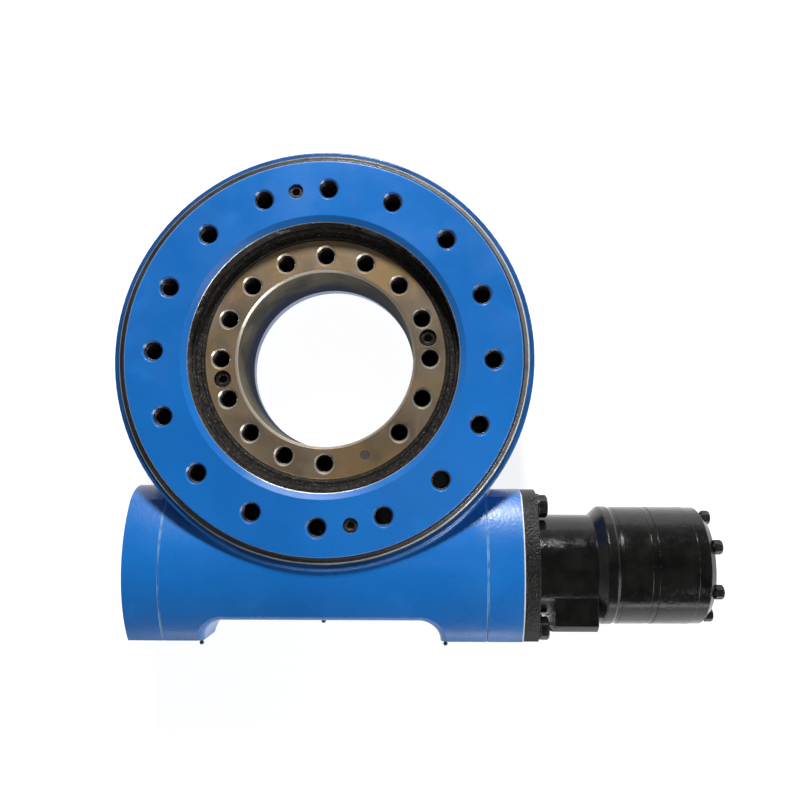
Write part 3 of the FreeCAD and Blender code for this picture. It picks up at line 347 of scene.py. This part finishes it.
def inner_hole_masks(g):
    """Masks of the inner ring's holes and of their chamfered mouths; both are 0 round the pin."""
    x, y, z = g.axes()
    reach = g.hole_distance(INNER_CIRCLE, 0.0)
    pin = math.radians(PIN_PLACE * 360 / HOLE_COUNT)
    from_pin = g.length(g.math("SUBTRACT", x, INNER_CIRCLE * math.cos(pin)),
                        g.math("SUBTRACT", y, INNER_CIRCLE * math.sin(pin)))
    away = g.span(from_pin, *PIN_CLEAR)
    inside = g.math("MULTIPLY", g.span(reach, HOLE_RADIUS + 0.00005, HOLE_RADIUS + 0.0002, 1, 0),
                    away)
    inside = g.math("MULTIPLY", inside, g.span(z, INNER_TOP - 0.0014, INNER_TOP - 0.0008, 1, 0))
    mouth = g.math("MULTIPLY", g.span(reach, MOUTH_RADIUS - 0.0001, MOUTH_RADIUS + 0.00005, 1, 0),
                   away)
    mouth = g.math("MULTIPLY", mouth, g.span(z, INNER_TOP - 0.0003, INNER_TOP - 0.0001, 1, 0))
    return inside, mouth


def turned_steel(name):
    """Bare turned ring: stained faces, bright edges, a dull bore painted darker as painted shade,
    with dark blue overspray and painted shade low down.
    """
    g = Graph(name)
    _, _, z = g.axes()
    radius = g.radius_xy()
    lines = g.line_noise(radius, 2600, 4)
    fine = g.line_noise(radius, 9000, 2)
    wall = bore_wall(g)
    # Painted shade: the bore wall is duller steel painted darker than the faces.
    tone = g.blend(wall, stained_steel(g, lines),
                   g.blend(g.span(g.noise(30, 5), 0.35, 0.65), (0.052, 0.048, 0.036),
                           (0.130, 0.114, 0.078)))
    # Blue overspray and painted shade: dark blue, darker towards the bottom of the bore.
    height = g.math("ADD", z, g.math("MULTIPLY", g.math("SUBTRACT", g.noise(14, 4), 0.5), 0.03))
    overspray_and_shade = g.math("MULTIPLY", wall, g.span(height, 0.028, 0.060, 0.90, 0.0))
    tone = g.blend(overspray_and_shade, tone, (0.006, 0.016, 0.052))
    lip = g.math("MULTIPLY", g.span(radius, BORE_RADIUS + 0.0018, BORE_RADIUS + 0.0021, 1, 0),
                 g.span(z, INNER_TOP - 0.0022, INNER_TOP - 0.0018))
    inside, mouth = inner_hole_masks(g)
    bright = g.math("MAXIMUM", mouth, lip)
    tone = g.blend(g.math("MULTIPLY", bright, 0.5), tone, (0.700, 0.650, 0.560))
    # Painted shade: the holes' walls are painted near black.
    tone = g.blend(inside, tone, (0.016, 0.013, 0.011))
    # Painted shade with grime: darker in corners and gaps, where shade falls.
    crevice_shade_and_dirt = g.span(g.crevice(0.003), 0.25, 0.75, 0.8, 0.0)
    tone = g.blend(crevice_shade_and_dirt, tone, (0.045, 0.036, 0.026))
    rough = g.math("ADD", g.span(lines, 0.3, 0.7, 0.30, 0.46),
                   g.math("MULTIPLY", g.noise(60, 6), 0.16))
    rough = g.math("SUBTRACT", rough, g.math("MULTIPLY", bright, 0.14))
    rough = g.math("ADD", rough, g.math("MULTIPLY", wall, 0.35))
    metal = g.math("SUBTRACT", 0.72, g.math("MULTIPLY", wall, 0.70))
    shine = g.math("SUBTRACT", 0.5, g.math("MULTIPLY", wall, 0.44))
    normal = g.bump(lines, 0.00005, 0.55, g.soft_edges(0.0005))
    normal = g.bump(fine, 0.00002, 0.5, normal)
    return g.finish(tone, rough, metal, normal, specular=shine)


def machined(name, tone_low, tone_high, roughness, upright=False):
    """Plain machined steel with marks running round the worm's axis, or round an upright one."""
    g = Graph(name)
    x, _, z = g.axes()
    marks = g.line_noise(z if upright else x, 5200, 3)
    tone = g.blend(tuned(0, 1, g, 55, 6), tone_low, tone_high)
    tone = g.blend(g.span(g.noise(400, 4, 0.7), 0.66, 0.74, 0, 0.5), tone, (0.07, 0.05, 0.04))
    rough = g.math("ADD", g.span(marks, 0.3, 0.7, roughness - 0.05, roughness + 0.08),
                   g.math("MULTIPLY", g.noise(90, 5), 0.10))
    return g.finish(tone, rough, 1.0, g.bump(marks, 0.00003, 0.5, g.soft_edges(0.0004)))


def black_oxide(name, lift=0.0):
    """Blackened screw steel, rubbed brown-grey on its edges."""
    g = Graph(name)
    tone = g.blend(tuned(0, 1, g, 140, 5), (0.016 + lift, 0.015 + lift, 0.014 + lift),
                   (0.055 + lift, 0.050 + lift, 0.046 + lift))
    worn = g.math("MULTIPLY", g.span(g.edge(0.0005), 0.02, 0.10),
                  g.span(g.noise(500, 4, 0.7), 0.40, 0.60))
    tone = g.blend(worn, tone, (0.34, 0.31, 0.28))
    rust = g.span(g.noise(330, 6, 0.7), 0.62, 0.72, 0, 0.55)
    tone = g.blend(rust, tone, (0.095, 0.050, 0.026))
    rough = tuned(0.30, 0.55, g, 300, 5)
    normal = g.bump(g.noise(1400, 3, 0.6), 0.00004, 0.5, g.soft_edges(0.0004))
    return g.finish(tone, rough, 0.85, normal)


def rubber(name):
    """Black rubber under brown grime and pale dust; it also colours the dark hole plugs that paint
    shade.
    """
    g = Graph(name)
    tone = g.blend(tuned(0, 1, g, 120, 6), (0.003, 0.003, 0.003), (0.010, 0.009, 0.008))
    brown = g.span(g.noise(210, 6, 0.7, 0.8), 0.54, 0.68, 0, 0.50)
    tone = g.blend(brown, tone, (0.070, 0.040, 0.024))
    flecks = g.span(g.noise(760, 3, 0.75), 0.60, 0.66, 0, 0.50)
    tone = g.blend(flecks, tone, (0.34, 0.30, 0.24))
    rough = tuned(0.40, 0.65, g, 200, 6)
    normal = g.bump(g.noise(1600, 4, 0.7), 0.00012, 0.6, g.soft_edges(0.0004))
    normal = g.bump(g.cells(330), 0.00045, 0.5, normal)
    return g.finish(tone, rough, 0.0, normal, specular=0.25)


def band(name):
    """Steel-cased lip seal: an oily, streaked satin band, painted lighter towards the motor as a
    painted reflection.
    """
    g = Graph(name)
    streak = g.line_noise(g.radius_xy(), 1500, 4)
    tone = g.blend(tuned(0, 1, g, 16, 5), (0.105, 0.103, 0.100), (0.230, 0.222, 0.205))
    # Painted reflection: the band is lightened towards +X, the motor side.
    reflection_towards_motor = g.span(g.axes()[0], 0.02, 0.14)
    tone = g.blend(reflection_towards_motor, tone, (0.58, 0.58, 0.56))
    tone = g.blend(g.span(g.noise(60, 6, 0.65, 0.7), 0.55, 0.70, 0, 0.5), tone,
                   (0.110, 0.092, 0.068))
    tone = g.blend(g.span(streak, 0.4, 0.75, 0, 0.3), tone, (0.070, 0.070, 0.074))
    groove = g.span(g.radius_xy(), SEAL_BAND_RADIUS - 0.0002, SEAL_BAND_RADIUS, 1.0, 0.0)
    tone = g.blend(groove, tone, (0.004, 0.004, 0.004))
    rough = g.math("ADD", g.span(streak, 0.3, 0.7, 0.16, 0.28),
                   g.math("MULTIPLY", g.noise(80, 5), 0.12))
    rough = g.math("ADD", rough, g.math("MULTIPLY", groove, 0.4))
    normal = g.bump(streak, 0.00006, 0.6, g.soft_edges(0.0003))
    metal = g.math("SUBTRACT", 0.95, g.math("MULTIPLY", groove, 0.95))
    return g.finish(tone, rough, metal, normal)


def black_casting(name, rough_cast, gloss, grain, coat, shine):
    """Black enamel over a sand casting: lumps, pits and a wet shine on the high spots."""
    g = Graph(name)
    tone = g.blend(tuned(0, 1, g, 60, 6), (0.0030, 0.0030, 0.0028), (0.0085, 0.0080, 0.0068))
    dust = g.span(g.noise(620, 5, 0.75), 0.66, 0.80, 0, 0.35)
    tone = g.blend(dust, tone, (0.060, 0.056, 0.048))
    worn = g.math("MULTIPLY", g.span(g.edge(0.0008), 0.04, 0.16),
                  g.span(g.noise(240, 5, 0.7), 0.52, 0.64, 0, 0.8))
    tone = g.blend(worn, tone, (0.12, 0.115, 0.105))
    rough = tuned(gloss, gloss + 0.16, g, 75, 6)
    lumps = g.math("ADD", g.math("MULTIPLY", g.noise(grain, 6, 0.68), 0.9),
                   g.math("MULTIPLY", g.cells(grain * 1.7, "SMOOTH_F1"), 0.6))
    normal = g.bump(lumps, 0.0010 * rough_cast, 0.55, g.soft_edges(0.0010))
    normal = g.bump(g.noise(45, 4, 0.5), 0.0014, 0.30, normal)
    return g.finish(tone, rough, 0.0, normal, coat=coat, coat_roughness=0.05, specular=shine)


def moulded(name, low, high):
    """Moulded plastic."""
    g = Graph(name)
    tone = g.blend(tuned(0, 1, g, 200, 4), low, high)
    normal = g.bump(g.noise(900, 3), 0.00005, 0.5, g.soft_edges(0.0003))
    return g.finish(tone, tuned(0.38, 0.52, g, 300), 0.0, normal)


MATERIALS = {
    "blue_paint": cast_enamel("blue_enamel_cast"),
    "ring_paint": ring_enamel("blue_enamel_ring"),
    "raw_steel": turned_steel("turned_bearing_steel"),
    "bearing_steel": machined("ground_steel", (0.52, 0.52, 0.53), (0.66, 0.66, 0.66), 0.10),
    "hardened_steel": machined("machined_steel", (0.33, 0.32, 0.31), (0.50, 0.49, 0.47), 0.26),
    "screw_steel": black_oxide("black_oxide_screws"),
    "seal_rubber": rubber("dusty_seal_rubber"),
    "band_seal": band("steel_cased_band"),
    "cast_black": black_casting("rough_black_plate", 1.6, 0.30, 420, 0.05, 0.28),
    "gloss_black": black_casting("gloss_black_casting", 0.30, 0.07, 300, 0.12, 0.30),
    "cage_steel": machined("pressed_cage", (0.30, 0.29, 0.28), (0.46, 0.45, 0.43), 0.30),
    "spacer_plastic": moulded("spacer_nylon", (0.60, 0.55, 0.42), (0.74, 0.70, 0.58)),
    "plug_steel": black_oxide("plated_plug", 0.03),
}
for part in frame["record"]["subparts"]:
    node = NODES[part["node"]]
    for slot in node.material_slots:
        slot.material = MATERIALS[part["material_slot"]]


# ------------------------------------------------------------------ built pieces
THREAD_PITCH = 0.002
THREAD_WALL = 0.00703       # the ridge's foot, a hair behind the hole's wall
THREAD_CREST = 0.00640
THREAD_HALF_WIDTH = 0.42 * THREAD_PITCH
THREAD_RUN_OUT = 0.03       # share of the ridge's height that is left at its ends
STEPS_PER_TURN = 22
OUTER_THREAD = (0.0815, 0.1020)     # where a coil starts and ends, along Z
INNER_THREAD = (0.0560, 0.0840)
# Dark plugs in the fixed ring's holes: painted shade.
SHADE_PLUG_RADIUS = 0.0069
SHADE_PLUG_DEPTH = 0.004
SHADE_PLUG_Z = 0.052
SHADE_PLUG_SIDES = 32


def new_piece(name, mesh_builder, material, body):
    """A mesh drawn by mesh_builder that moves with a body of the frame."""
    shape = bmesh.new()
    mesh_builder(shape)
    bmesh.ops.recalc_face_normals(shape, faces=shape.faces)
    mesh = bpy.data.meshes.new(name)
    shape.to_mesh(mesh)
    shape.free()
    for face in mesh.polygons:
        face.use_smooth = True
    mesh.materials.append(material)
    piece = bpy.data.objects.new(name, mesh)
    bpy.context.scene.collection.objects.link(piece)
    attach(piece, body)


def hole_spots(circle, phase, skip=None):
    """The centres of an evenly spaced circle's holes, without the place to skip."""
    for k in range(HOLE_COUNT):
        if k != skip:
            angle = math.radians(phase + k * 360 / HOLE_COUNT)
            yield circle * math.cos(angle), circle * math.sin(angle)


def thread_coil(shape, centre, low, high):
    """One screw-thread ridge wound up a hole wall, with its ends capped."""
    total = int((high - low) / THREAD_PITCH * STEPS_PER_TURN)
    fade_steps = STEPS_PER_TURN / 2
    rings = []
    for k in range(total + 1):
        angle = 2 * math.pi * k / STEPS_PER_TURN
        climb = low + THREAD_PITCH * k / STEPS_PER_TURN
        fade = min(1.0, k / fade_steps, (total - k) / fade_steps)
        top = THREAD_WALL - (THREAD_WALL - THREAD_CREST) * max(fade, THREAD_RUN_OUT)
        ring = []
        for reach, rise in ((THREAD_WALL, -THREAD_HALF_WIDTH), (top, 0.0),
                            (THREAD_WALL, THREAD_HALF_WIDTH)):
            ring.append(shape.verts.new((centre[0] + reach * math.cos(angle),
                                         centre[1] + reach * math.sin(angle), climb + rise)))
        rings.append(ring)
    for first, second in zip(rings, rings[1:]):
        for k in range(3):
            shape.faces.new((first[k], first[(k + 1) % 3], second[(k + 1) % 3], second[k]))
    shape.faces.new(rings[0])
    shape.faces.new(reversed(rings[-1]))


def outer_threads(shape):
    for centre in hole_spots(OUTER_CIRCLE, OUTER_PHASE):
        thread_coil(shape, centre, *OUTER_THREAD)


def inner_threads(shape):
    for centre in hole_spots(INNER_CIRCLE, 0.0, PIN_PLACE):
        thread_coil(shape, centre, *INNER_THREAD)


def hole_shade_plugs(shape):
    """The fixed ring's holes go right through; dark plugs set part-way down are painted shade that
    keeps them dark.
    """
    for x, y in hole_spots(INNER_CIRCLE, 0.0, PIN_PLACE):
        bmesh.ops.create_cone(shape, cap_ends=True, segments=SHADE_PLUG_SIDES, depth=SHADE_PLUG_DEPTH,
                              radius1=SHADE_PLUG_RADIUS, radius2=SHADE_PLUG_RADIUS,
                              matrix=Matrix.Translation((x, y, SHADE_PLUG_Z)))


THREAD_STEEL = machined("tapped_thread_steel", (0.10, 0.095, 0.09), (0.20, 0.19, 0.18), 0.34,
                        upright=True)
new_piece("outer_hole_threads", outer_threads, THREAD_STEEL, "ring")
new_piece("inner_hole_threads", inner_threads, THREAD_STEEL, "frame")
# Painted shade: dark plugs that keep the see-through holes dark.
new_piece("inner_hole_shade_plugs", hole_shade_plugs, rubber("hole_shade_plug_black"), "frame")


# ------------------------------------------------------------------ studio
FLOOR_SIZE = 24
FLOOR_Z = -0.0005
FLOOR_GLOW = 0.86
FLOOR_GLOW_INSIDE = 0.97
GLOW_EDGE = (0.070, 0.090)      # the glow fades from inside to outside over these radii
# How far up the sky, and its colour there. The last stop is only a small spot straight overhead.
SKY_STOPS = (
    (0.00, (1.05, 1.05, 1.06)),
    (0.35, (0.22, 0.23, 0.25)),
    (0.72, (0.08, 0.085, 0.10)),
    (1.00, (0.05, 0.055, 0.06)),
    (1.00, (1.0, 1.0, 1.0)),
)
SKY_STRENGTH = 0.75
CAMERA_PLACE = Vector((0.0753, -0.0937, 0.747))
CAMERA_AHEAD = Vector((-0.022, 0.090, -0.996)).normalized()
CAMERA_LENS = 37.1
CAMERA_SENSOR = 36


def floor_material():
    """Pale floor that glows, and glows a little more where it shows through the bore: painted light
    that lifts the shade there.
    """
    g = Graph("pale_studio_floor")
    tone = g.blend(tuned(0, 1, g, 2.5, 3), (0.30, 0.30, 0.30), (0.33, 0.33, 0.33))
    g.shader.inputs["Emission Color"].default_value = (1, 1, 1, 1)
    # Painted light: the stronger glow under the bore lifts the shade there.
    glow = g.span(g.radius_xy(), *GLOW_EDGE, FLOOR_GLOW_INSIDE, FLOOR_GLOW)
    g.join(glow, g.shader.inputs["Emission Strength"])
    return g.finish(tone, 0.75, 0.0, g.bump(g.noise(300, 3), 0.0001, 0.2))


def studio_air():
    """Bright low down all round and dim overhead, as under a dark studio ceiling."""
    world = bpy.data.worlds.new("studio_air")
    bpy.context.scene.world = world
    world.use_nodes = True
    tree = world.node_tree
    place = tree.nodes.new("ShaderNodeTexCoord")
    parts = tree.nodes.new("ShaderNodeSeparateXYZ")
    ramp = tree.nodes.new("ShaderNodeValToRGB")
    tree.links.new(place.outputs["Generated"], parts.inputs[0])
    tree.links.new(parts.outputs["Z"], ramp.inputs["Fac"])
    tree.links.new(ramp.outputs["Color"], tree.nodes["Background"].inputs["Color"])
    stops = ramp.color_ramp.elements
    while len(stops) < len(SKY_STOPS):
        stops.new(1.0)
    for stop, (height, colour) in zip(stops, SKY_STOPS):
        stop.position = height
        stop.color = (*colour, 1)
    tree.nodes["Background"].inputs["Strength"].default_value = SKY_STRENGTH


def soft_light(name, place, aim, size, power):
    """A rectangular lamp turned from its place towards aim."""
    light = bpy.data.lights.new(name, "AREA")
    light.shape = "RECTANGLE"
    light.size, light.size_y = size
    light.energy = power
    holder = bpy.data.objects.new(name, light)
    bpy.context.scene.collection.objects.link(holder)
    holder.location = place
    holder.rotation_mode = "QUATERNION"
    holder.rotation_quaternion = (Vector(aim) - Vector(place)).to_track_quat("-Z", "Y")


def photo_camera():
    """Looks down on the ring from above the motor's side, as the photograph does."""
    data = bpy.data.cameras.new("viewer")
    data.lens = CAMERA_LENS
    data.sensor_width = CAMERA_SENSOR
    camera = bpy.data.objects.new("viewer", data)
    bpy.context.scene.collection.objects.link(camera)
    right = CAMERA_AHEAD.cross(Vector((0, 1, 0))).normalized()
    up = right.cross(CAMERA_AHEAD)
    turn = Matrix((right, up, -CAMERA_AHEAD)).transposed()
    camera.matrix_world = Matrix.Translation(CAMERA_PLACE) @ turn.to_4x4()
    bpy.context.scene.camera = camera


bpy.ops.mesh.primitive_plane_add(size=FLOOR_SIZE, location=(0, 0, FLOOR_Z))
floor = bpy.context.object
floor.name = "studio_floor"
floor.data.materials.append(floor_material())

studio_air()
soft_light("key_panel", (0.0, 1.73, 1.40), (0, -0.05, 0.08), (0.42, 0.36), 80)
soft_light("side_panel", (1.45, -1.05, 0.80), (0.0, -0.05, 0.08), (1.1, 0.75), 24)
soft_light("front_panel", (0.2, -2.0, 0.40), (0.05, -0.1, 0.08), (1.8, 0.25), 5)

photo_camera()
bpy.context.scene.view_settings.view_transform = "Standard"
